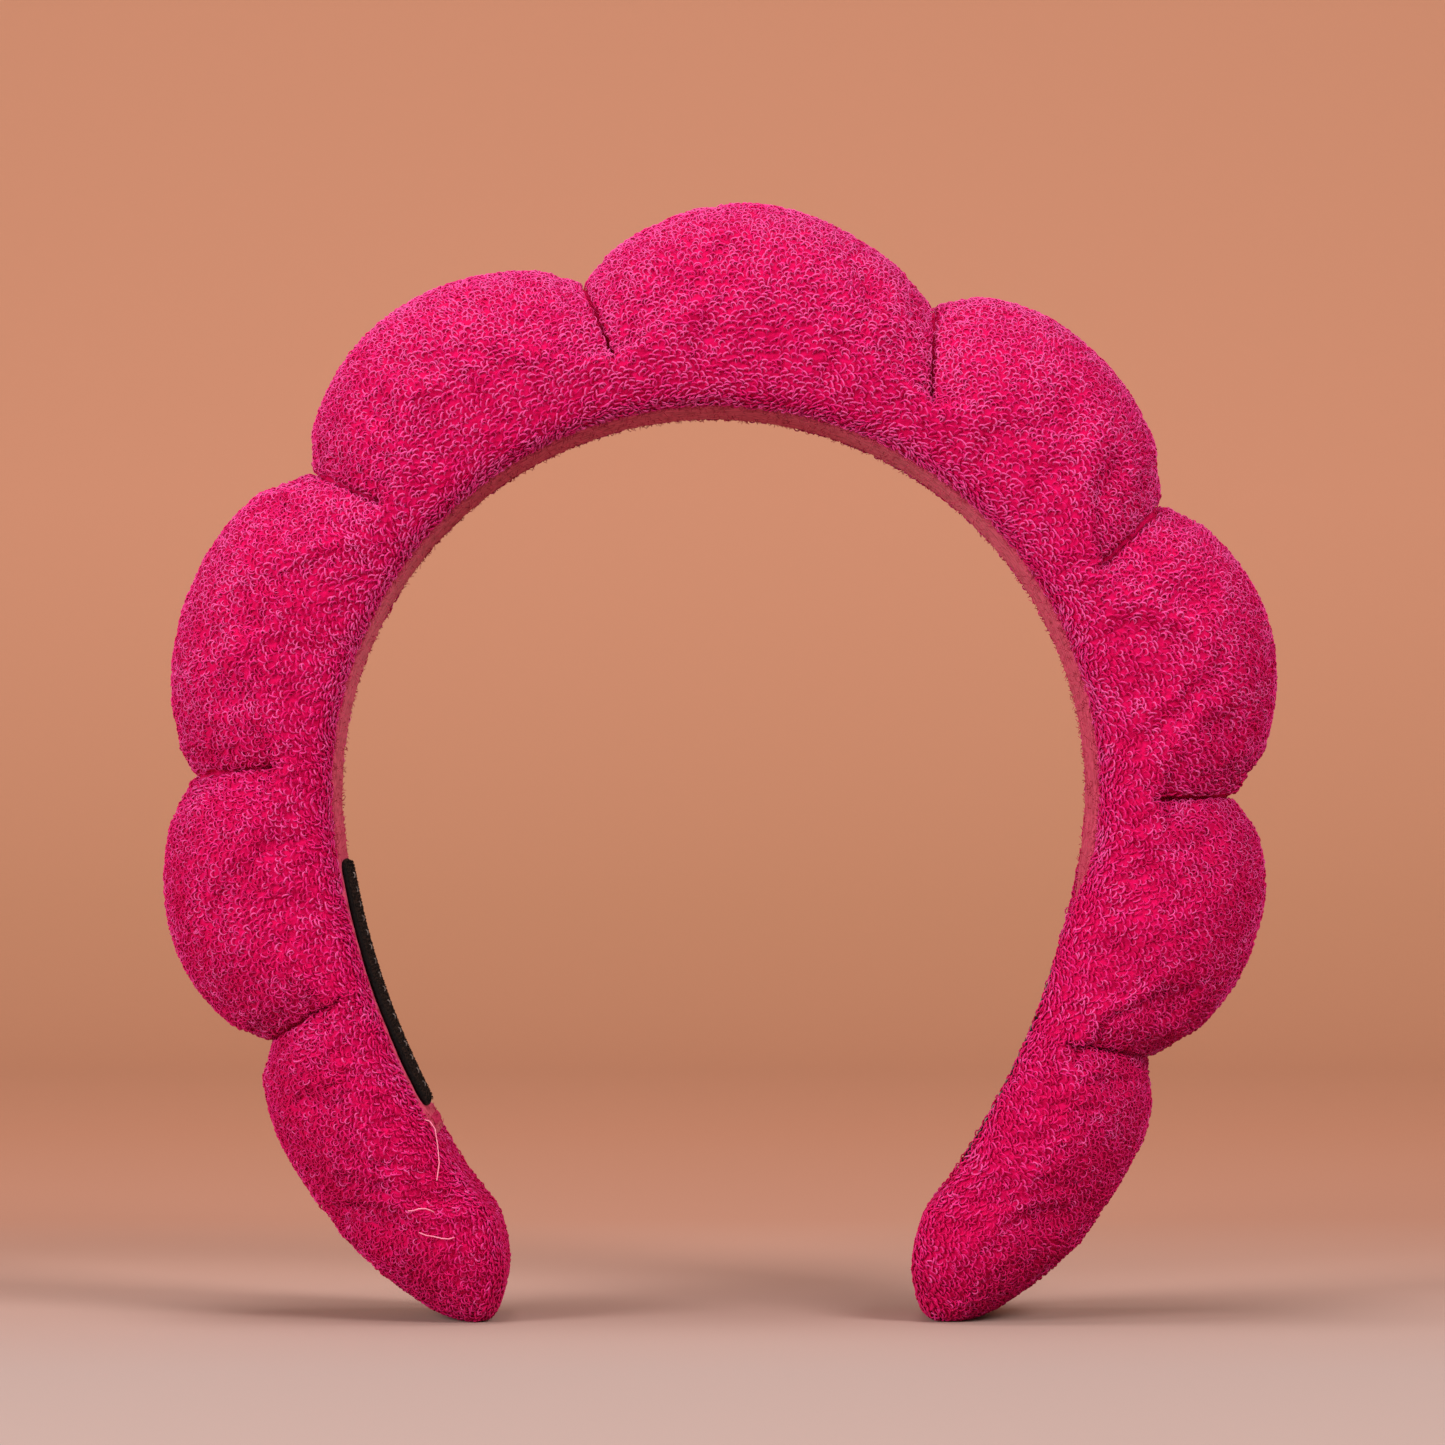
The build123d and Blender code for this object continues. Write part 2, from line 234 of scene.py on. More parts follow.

# colours, linear
# the terry's ground: its own deep pink, kept darker than the pile as a painted shade for the gaps
# between loops
TERRY_DEEP = (0.49, 0.0003, 0.058)
TERRY_GROUND = (0.56, 0.0008, 0.085)
# the pile's shades, given to the loops partly at random and partly by height, the lighter ones towards
# the top as a painted light
PILE_SHADES = ((0.54, 0.001, 0.085), (0.57, 0.004, 0.115), (0.60, 0.012, 0.155), (0.63, 0.030, 0.20),
               (0.655, 0.062, 0.26))
PILE_SHARES = (0.2, 0.4, 0.6, 0.8)
LINING_DARK = (0.32, 0.010, 0.045)
LINING_ROSE = (0.60, 0.062, 0.14)
# the sweep's colours by how far behind the object they lie: the floor's pinkish beige near it and the
# backdrop's peach behind, with a painted shade that keeps it darker near and just behind the object than
# far back
SWEEP_COLOURS_AND_SHADE = (
    (-0.10, (0.36, 0.27, 0.245)),
    (0.25, (0.41, 0.20, 0.135)),
    (0.60, (0.50, 0.23, 0.14)),
    (1.30, (0.65, 0.32, 0.19)),
    (1.60, (0.78, 0.38, 0.24)),
)

# lamps: name, place, size, power in watts and colour
LAMPS = (
    ("key", (0.75, -0.95, 0.95), 0.5, 16, (1.0, 0.95, 0.93)),
    ("fill", (-0.95, -0.9, 0.5), 0.6, 17, (1.0, 0.94, 0.93)),
    ("top", (-0.15, -0.1, 1.3), 0.5, 8.5, (1.0, 0.96, 0.95)),
)
WORLD_COLOUR = (0.82, 0.70, 0.62)
WORLD_STRENGTH = 0.46

# the camera, level and in front, and what it looks at
CAMERA_DISTANCE = 985 * MM
CAMERA_PLACE = (-10 * MM, -CAMERA_DISTANCE, 82 * MM)
CAMERA_TARGET = (1.3 * MM, 0, 100 * MM)
VIEW_WIDTH = 243.7 * MM
# how far behind the object the floor starts to curve up, and the curve's radius
SWEEP_START = 1.0
SWEEP_RADIUS = 0.9


# -------- the band's form

def smoothstep(low, high, value):
    """0 below low, 1 above high, and smooth between."""
    t = np.clip((value - low) / (high - low), 0, 1)
    return t * t * (3 - 2 * t)


def lining_point(station, height=0.0):
    """Where a station lies in X and Z, raised off the lining."""
    side = -1 if station < 0 else 1
    run = abs(station)
    radius, angle, centre_x, centre_z = OPENING_RADIUS, run / OPENING_RADIUS, 0.0, CENTRE_HEIGHT
    if run > ROUND_RUN:
        radius = LEG_RADIUS
        angle = ROUND_ANGLE + (run - ROUND_RUN) / LEG_RADIUS
        centre_x = (OPENING_RADIUS - LEG_RADIUS) * sin(ROUND_ANGLE)
        centre_z = CENTRE_HEIGHT + (OPENING_RADIUS - LEG_RADIUS) * cos(ROUND_ANGLE)
    x = centre_x + (radius + height) * sin(angle)
    z = centre_z + (radius + height) * cos(angle)
    return side * x, z


def thickness_to(station, lean, reach):
    """How thick the band is along a lean, when its outside is this far from the middle."""
    x, z = lining_point(station)
    z = z - CENTRE_HEIGHT
    along = x * sin(radians(lean)) + z * cos(radians(lean))
    return (along**2 + reach**2 - x**2 - z**2) ** 0.5 - along


def ring_profile(thickness, half_depth, flat):
    """Outward distance and depth of each point round one section, from the front rim outwards."""
    waist = WIDEST_AT * thickness
    corner = np.arange(CORNER_STEPS) / CORNER_STEPS * pi / 2
    crown = np.arange(CROWN_STEPS + 1) / CROWN_STEPS * pi
    out_corner = waist * (1 - np.cos(corner))
    depth_corner = flat + (half_depth - flat) * np.sin(corner)
    out_crown = waist + (thickness - waist) * np.sin(crown)
    depth_crown = -half_depth * np.cos(crown)
    depth_flat = flat - np.arange(1, FLAT_STEPS) / FLAT_STEPS * 2 * flat
    out = np.concatenate((out_corner, out_crown, out_corner[::-1], 0 * depth_flat))
    depth = np.concatenate((-depth_corner, depth_crown, depth_corner[::-1], depth_flat))
    return out, depth


def crease_share():
    """How fully each point round a section is drawn in at a cinch: 0 by the rims, 1 outside."""
    out, _ = ring_profile(1.0, 1.0, 1.0)
    return smoothstep(CREASE_STARTS, CREASE_FULL, out)


def spaced(count):
    """Shares from 0 to 1, closer together near both ends."""
    t = np.arange(count + 1) / count
    return EVEN_SHARE * t + (1 - EVEN_SHARE) * (0.5 - 0.5 * np.cos(pi * t))


def reach_between(station):
    """The band's reach where it isn't drawn in, blended from puff to puff."""
    middles = [(a[0] + b[0]) / 2 for a, b in zip(CINCHES, CINCHES[1:])]
    return float(np.interp(station, middles, REACHES))


def smooth_between(value, stops, rows):
    """Rows of numbers, read smoothly at a value between their stops."""
    slopes = np.gradient(rows, stops, axis=0)
    first = int(np.clip(np.searchsorted(stops, value) - 1, 0, len(stops) - 2))
    span = stops[first + 1] - stops[first]
    t = (value - stops[first]) / span
    ends = (1 + 2 * t) * (1 - t) ** 2 * rows[first] + t * t * (3 - 2 * t) * rows[first + 1]
    return ends + span * (t * (1 - t) ** 2 * slopes[first] - t * t * (1 - t) * slopes[first + 1])


def mixed(drawn, full, swell, sides):
    """A section between its drawn-in and its full profile, by how far it swells out and sideways."""
    share = crease_share()
    out = drawn[0] + (share * swell + (1 - share) * RIM_SWELL) * (full[0] - drawn[0])
    depth = drawn[1] + (share * sides + (1 - share) * RIM_SWELL) * (full[1] - drawn[1])
    return out, depth


def turned(out, depth, station):
    """Outward distance and depth on the right leg, after its slight turn about its own length."""
    angle = LEG_TURN * smoothstep(TURN_STARTS, TURN_ENDS, station)
    return out * np.cos(angle) + depth * np.sin(angle), depth * np.cos(angle) - out * np.sin(angle)


def puff_section(place, share, low, high, inset, flat):
    """One section's points on a puff between two cinches."""
    station, lean, drawn_to = (a + share * (b - a) for a, b in zip(low, high))
    x, z = lining_point(station)
    swollen_to = reach_between(station)
    full = ring_profile(thickness_to(station, lean, swollen_to) - inset, PUFF_HALF_DEPTH - inset, flat)
    drawn = ring_profile(thickness_to(station, lean, drawn_to) - inset, CINCH_HALF_DEPTH - inset, flat)
    out, depth = mixed(drawn, full, sin(pi * share) ** PUFF_ARC, sin(pi * share) ** PUFF_SIDES)
    out, depth = turned(place(out, station), depth, station)
    return station, np.stack((x + out * sin(radians(lean)), depth, z + out * cos(radians(lean))), axis=1)


def end_rows(cinch, rows, side):
    """An end puff's stops and rows: inner point, outer point, half depth and flat half width."""
    first, lean, notch = cinch
    run = side * LINING_END - first
    x, z = lining_point(first)
    thickness = thickness_to(first, lean, notch)
    shares = [0.0]
    table = [(abs(x), z, abs(x + thickness * sin(radians(lean))), z + thickness * cos(radians(lean)),
              END_HALF_DEPTH, FLAT_HALF_WIDTH)]
    for share, outer_x, outer_z in rows:
        x, z = lining_point(first + share * run)
        flat = FLAT_HALF_WIDTH - END_FLAT_LOSS * smoothstep(0.5, 1, share)
        depth = END_HALF_DEPTH - END_DEPTH_LOSS * smoothstep(0.6, 1, share)
        shares.append(share)
        table.append((abs(x), z, outer_x * MM, outer_z * MM, depth, flat))
    for number, row in enumerate(FOOT):
        shares.append(1 + (number + 1) * FOOT_STEP)
        table.append(tuple(value * MM for value in row))
    return np.array(shares), np.array(table)


def end_section(place, share, stops, table, side, inset, narrower):
    """One section's points on an end puff or its foot."""
    inner_x, inner_z, outer_x, outer_z, half_depth, flat = smooth_between(share, stops, table)
    across = np.array((outer_x - inner_x, outer_z - inner_z))
    thickness = float(np.linalg.norm(across))
    across /= thickness
    sides = sin(pi / 2 * min(share / END_SIDES_RUN, 1)) ** PUFF_SIDES
    full = ring_profile(thickness - inset, half_depth - inset, flat - narrower)
    drawn = ring_profile(thickness - inset, CINCH_HALF_DEPTH - inset, flat - narrower)
    out, depth = mixed(drawn, full, 1, sides)
    station = side * (LINING_END + (share - 1) * END_RUN)
    out, depth = turned(place(out, station), depth, side * LINING_END)
    return np.stack((side * (inner_x + out * across[0]), depth, inner_z + out * across[1]), axis=1)


def bedded(out, station):
    """Outward distances with the rims set back, and the flat side sunk to make room for the lining."""
    lined = smoothstep(-1.5 * MM, 0, station - LINING_STOPS["left"])
    lined *= 1 - smoothstep(0, 1.5 * MM, station - LINING_STOPS["right"])
    set_back = RIM_SET_BACK - RIM_RISE * smoothstep(TURN_STARTS, TURN_ENDS, station)
    out = out + set_back * (1 - smoothstep(0, 4 * RIM_SET_BACK, out))
    out[-FLAT_STEPS + 1:] += (LINING_BED - set_back) * lined
    return out


def on_hoop(out, station):
    """Outward distances with a flat side that lies on the hoop, the same at every station."""
    return np.maximum(out, FOAM_BOTTOM)


def puff_columns(low, high):
    """Sections of the sleeve's puff from one cinch up to, but without, the next."""
    run = (high[0] - low[0]) * PUFF_RUN_EXCESS
    return [puff_section(bedded, share, low, high, PILE_HEIGHT, FLAT_HALF_WIDTH)
            for share in spaced(round(run / COLUMN_STEP))[:-1]]


def end_columns(cinch, rows, side):
    """Sections of the sleeve from a leg's last cinch down to its foot and across the foot's bottom."""
    stops, table = end_rows(cinch, rows, side)
    first = cinch[0]
    columns = []
    for share in np.concatenate((spaced(END_PUFF_COLUMNS)[:END_PUFF_USED], LEG_SHARES)):
        points = end_section(bedded, share, stops, table, side, PILE_HEIGHT, 0)
        station = first + share * (side * LINING_END - first)
        if share > 1:
            station = side * (LINING_END + (share - 1) * FOOT_RUN)
        columns.append((station, points))
    last = columns[-1][1]
    middle = last.mean(axis=0)
    for scale in FOOT_RINGS:
        columns.append((side * (LINING_END + FOOT_BOTTOM), middle + scale * (last - middle)))
    return columns


def sleeve_grid():
    """Stations and points of the whole sleeve, one section after another from left to right."""
    left = end_columns(CINCHES[0], LEFT_END, -1)[::-1]
    middle = []
    for low, high in zip(CINCHES, CINCHES[1:]):
        middle += puff_columns(low, high)
    middle = middle[1:]
    right = end_columns(CINCHES[-1], RIGHT_END, 1)
    columns = left + middle + right
    stations = np.array([column[0] for column in columns])
    return stations, np.array([column[1] for column in columns])


# -------- cloth and meshes

def grid_faces(columns, ring):
    """Quads of a tube of sections, facing outwards where each ring turns left-handed along the tube."""
    start = np.arange(columns - 1)[:, None] * ring
    here = np.arange(ring)[None, :]
    there = (here + 1) % ring
    quads = np.stack((start + here, start + there, start + ring + there, start + ring + here), axis=-1)
    return quads.reshape(-1, 4)


def mesh_object(name, points, faces, material=None):
    """A smooth-shaded object from arrays of points and of equal-sized faces."""
    points = np.ascontiguousarray(points.reshape(-1, 3), dtype=np.float32)
    faces = np.ascontiguousarray(faces, dtype=np.int32)
    mesh = bpy.data.meshes.new(name)
    mesh.vertices.add(len(points))
    mesh.vertices.foreach_set("co", points.ravel())
    mesh.loops.add(faces.size)
    mesh.loops.foreach_set("vertex_index", faces.ravel())
    mesh.polygons.add(len(faces))
    mesh.polygons.foreach_set("loop_start", np.arange(len(faces), dtype=np.int32) * faces.shape[1])
    mesh.update(calc_edges=True)
    mesh.polygons.foreach_set("use_smooth", np.full(len(faces), True))
    if material:
        mesh.materials.append(material)
    made = bpy.data.objects.new(name, mesh)
    bpy.context.scene.collection.objects.link(made)
    return made


def held_down(stations):
    """How firmly each point of the sleeve is held while it is inflated, from 0 to 1."""
    share = crease_share()
    at_cinch = np.zeros(len(stations))
    for cinch in CINCHES:
        away = np.abs(stations - cinch[0])
        at_cinch = np.maximum(at_cinch, 1 - smoothstep(*CREASE_HOLD, away))
    held = at_cinch[:, None] * share[None, :]
    rim = 1 - smoothstep(RIM_HELD_TO, CREASE_STARTS, ring_profile(1.0, 1.0, 1.0)[0])
    held = np.maximum(held, rim[None, :])
    foot = smoothstep(LINING_END, LINING_END + FOOT_HELD_FROM, np.abs(stations))
    return np.maximum(held, foot[:, None])


def blurred(field, passes):
    """A grid of vectors averaged with its neighbours a number of times."""
    for _ in range(passes):
        longer = np.concatenate((field[:1], field, field[-1:]))
        field = (longer[:-2] + 2 * field + longer[2:]) / 4
        field = (np.roll(field, 1, axis=1) + 2 * field + np.roll(field, -1, axis=1)) / 4
    return field


def inflate(stations, points):
    """Blow the sleeve up as cloth that is slightly too big for its form, so that it puckers."""
    columns, ring = points.shape[:2]
    cloth_piece = mesh_object("inflating", points, grid_faces(columns, ring)[:, ::-1])
    group = cloth_piece.vertex_groups.new(name="held")
    for index, weight in enumerate(held_down(stations).ravel()):
        group.add([index], float(weight), "REPLACE")
    cloth = cloth_piece.modifiers.new("cloth", "CLOTH")
    settings = cloth.settings
    settings.quality = 6
    settings.mass = 0.15
    settings.tension_stiffness = 12
    settings.compression_stiffness = 6
    settings.shear_stiffness = 4
    settings.bending_stiffness = 0.15
    settings.shrink_min = -CLOTH_EXCESS
    settings.use_pressure = True
    settings.uniform_pressure_force = CLOTH_PRESSURE
    settings.vertex_group_mass = "held"
    settings.pin_stiffness = 1
    settings.effector_weights.gravity = 0
    cloth.point_cache.frame_start = 1
    cloth.point_cache.frame_end = CLOTH_FRAMES
    scene = bpy.context.scene
    for step in range(1, CLOTH_FRAMES + 1):
        scene.frame_set(step)
    settled = cloth_piece.evaluated_get(bpy.context.evaluated_depsgraph_get())
    flat = np.empty(columns * ring * 3, dtype=np.float32)
    settled.data.vertices.foreach_get("co", flat)
    moved = flat.reshape(points.shape) - points
    moved -= CLOTH_SETTLING * blurred(moved, CLOTH_BLURS)
    length = np.linalg.norm(moved, axis=2, keepdims=True)
    moved *= np.minimum(1, CLOTH_CAP / np.maximum(length, 1e-9))
    scene.frame_set(1)
    bpy.data.objects.remove(cloth_piece)
    return points + moved


def refined(values, times, around):
    """Catmull-Rom refinement along the first axis, round a closed ring or between two ends."""
    count = len(values)
    index = np.arange(count if around else count - 1)
    wrap = (lambda i: i % count) if around else (lambda i: np.clip(i, 0, count - 1))
    before, here, there, after = (values[wrap(index + shift)] for shift in (-1, 0, 1, 2))
    parts = []
    for step in range(times):
        t = step / times
        parts.append(0.5 * (2 * here + (there - before) * t
                            + (2 * before - 5 * here + 4 * there - after) * t**2
                            + (3 * here - before - 3 * there + after) * t**3))
    out = np.stack(parts, axis=1).reshape(-1, *values.shape[1:])
    return out if around else np.concatenate((out, values[-1:]))


def unit(vectors):
    """Vectors along the last axis, scaled to a length of 1."""
    return vectors / np.maximum(np.linalg.norm(vectors, axis=-1, keepdims=True), 1e-12)


def normals_of(points):
    """Outward normals of a grid of sections."""
    along = np.gradient(points, axis=0)
    around = np.roll(points, -1, axis=1) - np.roll(points, 1, axis=1)
    return unit(np.cross(along, around))


def lumps(points, size, seed=0.0):
    """Smooth noise from -1 to 1 at each point, with lumps of a size."""
    flat = points.reshape(-1, 3) / size + seed
    values = [noise.noise(Vector(p)) for p in flat.tolist()]
    return np.array(values).reshape(points.shape[:-1])


def make_sleeve():
    """Fine stations, points and normals of the whole terry sleeve, ready to be split."""
    stations, points = sleeve_grid()
    points = inflate(stations, points)
    fine = refined(points, REFINEMENT, around=False)
    fine = refined(fine.swapaxes(0, 1), REFINEMENT, around=True).swapaxes(0, 1)
    fine_stations = refined(stations, REFINEMENT, around=False)
    normals = normals_of(fine)
    free = 1 - smoothstep(LINING_END, LINING_END + FOOT_HELD_FROM, np.abs(fine_stations))[:, None]
    swell = LUMP_HEIGHT * (lumps(fine, BIG_LUMPS, 3.1) + 0.45 * lumps(fine, SMALL_LUMPS, 8.7))
    fine = fine + normals * (swell * free)[:, :, None]
    fine[:, :, 2] = np.maximum(fine[:, :, 2], 0.2 * MM)
    return fine_stations, fine, normals_of(fine)


def closed_tube(name, rings, material):
    """A solid piece from its sections, closed at both ends."""
    rings = np.array(rings)
    ends = [[ring.mean(axis=0) + scale * (ring - ring.mean(axis=0)) for scale in (0.03, 0.5, 0.85)]
            for ring in (rings[0], rings[-1])]
    points = np.concatenate((ends[0], rings, ends[1][::-1]))
    return mesh_object(name, points, grid_faces(*points.shape[:2])[:, ::-1], material)


def make_foam(material):
    """The foam in each puff, clear of the terry and of the hoop, by the puff's name."""
    pieces = {}
    for side, cinch, rows in (("left", CINCHES[0], LEFT_END), ("right", CINCHES[-1], RIGHT_END)):
        sign = -1 if side == "left" else 1
        stops, table = end_rows(cinch, rows, sign)
        narrower = FLAT_HALF_WIDTH - FOAM_HALF_WIDTH
        rings = [end_section(on_hoop, share, stops, table, sign, FOAM_INSET, narrower)
                 for share in np.linspace(*FOAM_END_SHARES)]
        if side == "left":
            rings.reverse()
        pieces[f"{side}_4"] = closed_tube(f"foam_{side}_4", rings, material)
    middles = ("left_3", "left_2", "left_1", "crown", "right_1", "right_2", "right_3")
    for name, low, high in zip(middles, CINCHES, CINCHES[1:]):
        rings = [puff_section(on_hoop, share, low, high, FOAM_INSET, FOAM_HALF_WIDTH)[1]
                 for share in np.linspace(*FOAM_PUFF_SHARES)]
        pieces[name] = closed_tube(f"foam_{name}", rings, material)
    return pieces


def on_band(station, depth, height):
    """A point over the lining: its station, its depth in Y and its height towards the head."""
    out, depth = turned(-height, depth, station)
    x, z = lining_point(station, out)
    return x, depth, z


def tubes(paths, radius, sides=3):
    """Points and quads of many open tubes that follow paths of equal length."""
    count, steps, _ = paths.shape
    forward = unit(np.gradient(paths, axis=1))
    reference = np.cross(forward[:, steps // 2], paths[:, 0] - paths[:, steps // 2])[:, None, :]
    reference = reference + np.array((1e-9, 2e-9, 1e-9))
    across = unit(reference - forward * np.sum(reference * forward, axis=2, keepdims=True))
    other = np.cross(forward, across)
    angles = np.arange(sides) / sides * 2 * pi
    rings = (across[:, :, None] * np.cos(angles)[:, None] + other[:, :, None] * np.sin(angles)[:, None])
    points = paths[:, :, None] + rings * radius
    one = grid_faces(steps, sides)
    quads = one[None] + (np.arange(count) * steps * sides)[:, None, None]
    return points.reshape(-1, 3), quads.reshape(-1, 4)


def sides_of(stations):
    """Each side's name and which of the stations are on it, split at the crown."""
    on_left = stations < SPLIT_STATION
    return ("left", on_left), ("right", ~on_left)


def halves(name, points, faces, stations, material):
    """Split a long piece's faces at the crown and make its left and right halves."""
    made = []
    for side, mask in sides_of(stations[faces].mean(axis=1)):
        used, renumbered = np.unique(faces[mask], return_inverse=True)
        kept = renumbered.reshape(-1, faces.shape[1])
        made.append(mesh_object(f"{name}_{side}", points[used], kept, material))
    return made


# -------- terry

def sampled(stops, length, rows):
    """Rows of three numbers, read at some lengths along a line."""
    return np.stack([np.interp(stops, length, rows[:, i]) for i in range(3)], axis=1)


def terry_rows(stations, points, normals):
    """Rows of places along the sleeve for loops of pile: point, normal and forward direction."""
    columns, ring = points.shape[:2]
    creases = np.array([cinch[0] for cinch in CINCHES])
    drawn_in = refined(crease_share(), REFINEMENT, around=True)
    visible = ring - (FLAT_STEPS - 0.6) * REFINEMENT
    places = []
    row = 0.0
    while row < ring:
        low = int(row)
        share = row - low
        high = (low + 1) % ring
        line = points[:, low] * (1 - share) + points[:, high] * share
        line_normals = normals[:, low] * (1 - share) + normals[:, high] * share
        length = np.concatenate(([0], np.cumsum(np.linalg.norm(np.diff(line, axis=0), axis=1))))
        stops = np.arange(random.uniform(0, LOOP_SPACING), length[-1], LOOP_SPACING)
        stops = stops + random.normal(0, LOOP_UNEVEN * LOOP_SPACING, len(stops))
        stops = np.clip(stops, 0, length[-1])
        centre = sampled(stops, length, line)
        normal = sampled(stops, length, line_normals)
        ahead = sampled(stops + LOOP_AHEAD, length, line) - centre
        along = np.interp(stops, length, np.arange(columns))
        place = np.interp(along, np.arange(columns), stations)
        unlined = (place < LINING_STOPS["left"] + 1 * MM) | (place > LINING_STOPS["right"] - 1 * MM)
        shown = unlined | (row < visible)
        from_crease = np.abs(place[:, None] - creases[None, :]).min(axis=1)
        shown &= (from_crease > CREASE_CLEAR) | (drawn_in[low] < DEEP_CREASE)
        places.append(np.concatenate((centre, normal, ahead), axis=1)[shown])
        row += LOOP_ROW
    return np.concatenate(places)


def loop_paths(places):
    """The path of each loop: a small arch that leans over, feet in the cloth."""
    centre, normal, ahead = places[:, :3], unit(places[:, 3:6]), places[:, 6:]
    ahead = unit(ahead - normal * np.sum(ahead * normal, axis=1, keepdims=True))
    beside = np.cross(normal, ahead)
    count = len(places)
    drift = LOOP_DRIFT * lumps(centre, DRIFT_SIZE)
    turn = LOOP_TURN + drift + random.normal(0, LOOP_SCATTER, count)
    spread = ahead * np.cos(turn)[:, None] + beside * np.sin(turn)[:, None]
    fall = np.cross(normal, spread)
    centre = centre + beside * random.normal(0, LOOP_STRAY, count)[:, None]
    width = LOOP_WIDTH * random.uniform(0.7, 1.3, count)[:, None]
    height = LOOP_HEIGHT * random.uniform(0.6, 1.2, count)[:, None]
    lean = LOOP_FALL * np.clip(random.normal(1, 0.35, count), 0.3, 1.6)[:, None]
    path = []
    for step in range(LOOP_STEPS):
        angle = pi * step / (LOOP_STEPS - 1)
        rise = sin(angle) ** 0.8
        point = centre + spread * width * cos(angle) / 2 * (1 + 0.35 * rise)
        path.append(point + normal * (height * rise - LOOP_ROOT) + fall * lean * rise)
    return np.stack(path, axis=1)


def make_pile(stations, points, normals):
    """Loops of pile all over the terry, in a few shades of the yarn, in left and right halves. The
    shades go partly at random and partly by height, lighter towards the top as a painted light from
    above.
    """
    places = terry_rows(stations, points, normals)
    paths = loop_paths(places)
    paths[:, :, 2] = np.maximum(paths[:, :, 2], LOOP_RADIUS)
    middle = paths.mean(axis=1)
    tone_and_top_light = 0.5 * lumps(middle, MOTTLE_SIZE, 4.4) + random.normal(0, 0.4, len(paths))
    # painted light: loops higher up the band get lighter shades, as if lit from above
    tone_and_top_light += 0.3 * (middle[:, 2] - CENTRE_HEIGHT) / OPENING_RADIUS
    cuts = np.quantile(tone_and_top_light, PILE_SHARES)
    kind = np.searchsorted(cuts, tone_and_top_light)
    on_left = station_side(middle) < 0
    made = []
    for number, shade in enumerate(PILE_SHADES):
        material = yarn_material(f"terry_yarn_{number}", shade)
        for side, mask in (("left", on_left), ("right", ~on_left)):
            loops, quads = tubes(paths[(kind == number) & mask], LOOP_RADIUS)
            made.append(mesh_object(f"terry_pile_{number}_{side}", loops, quads, material))
    return made


def station_side(points):
    """Below 0 for points on the left half of the band, and above 0 on the right."""
    x, z = lining_point(SPLIT_STATION)
    return points[:, 0] * (z - CENTRE_HEIGHT) - (points[:, 2] - CENTRE_HEIGHT) * x


# -------- lining, strips and threads

def lining_drop(across):
    """The height of the lining's face, which rolls away at both edges."""
    return -LINING_ROLL * np.abs(across) ** 8


def make_lining(material):
    """The flat lining between the rims of the terry, in left and right halves."""
    across = np.linspace(1, -1, 27)
    face = np.stack((across * LINING_HALF_WIDTH, lining_drop(across)), axis=1)
    turned_in = 0.98 * LINING_HALF_WIDTH
    under = np.array(((-turned_in, -1.6 * MM), (0, -1.1 * MM), (turned_in, -1.6 * MM)))
    ring = np.concatenate((face, under))
    made = []
    for side in ("left", "right"):
        first, last = sorted((LINING_STOPS[side], SPLIT_STATION))
        stations = np.linspace(first, last, round((last - first) / LINING_STEP))
        points = np.array([[on_band(s, y, h) for y, h in ring.tolist()] for s in stations.tolist()])
        wave = 0.12 * MM * lumps(points, 4 * MM, 5.5) + 0.08 * MM * lumps(points, 1.4 * MM, 2.5)
        outward = points - np.array((0, 0, CENTRE_HEIGHT))
        outward[:, :, 1] = 0
        points += unit(outward) * wave[:, :, None]
        made.append(closed_tube(f"lining_cloth_{side}", points, material))
    return made


def rounded_outline(half_length, half_width, radius, count=72):
    """Points round a rectangle with rounded corners, along and across."""
    angles = np.arange(count) / count * 2 * pi
    sides = []
    for half, turn in ((half_length, np.cos(angles)), (half_width, np.sin(angles))):
        straight = (half - radius) * smoothstep(0, 0.55, np.abs(turn))
        sides.append(np.sign(turn) * straight + radius * turn)
    return np.stack(sides, axis=1)


def make_grip(name, first, material):
    """A strip of hook tape on a leg: a thin pad with a soft edge."""
    outline = rounded_outline(GRIP_LENGTH / 2, GRIP_HALF_WIDTH, GRIP_CORNER)
    middle = first + np.sign(first) * GRIP_LENGTH / 2
    layers = [(scale, GRIP_HEIGHT) for scale in np.linspace(0.04, 0.92, 12)]
    shoulder = ((0.965, 0.93), (0.99, 0.72), (1.0, 0.4))
    layers += [(scale, share * GRIP_HEIGHT) for scale, share in shoulder]
    layers += [(0.995, -0.1 * MM)]
    layers += [(scale, -0.15 * MM) for scale in (0.96, 0.6, 0.2, 0.03)]
    points = []
    for scale, height in layers:
        points.append([on_band(middle + a, y, height) for a, y in (outline * scale).tolist()])
    points = np.array(points)
    faces = grid_faces(len(layers), len(outline))
    return mesh_object(name, points, faces, material)


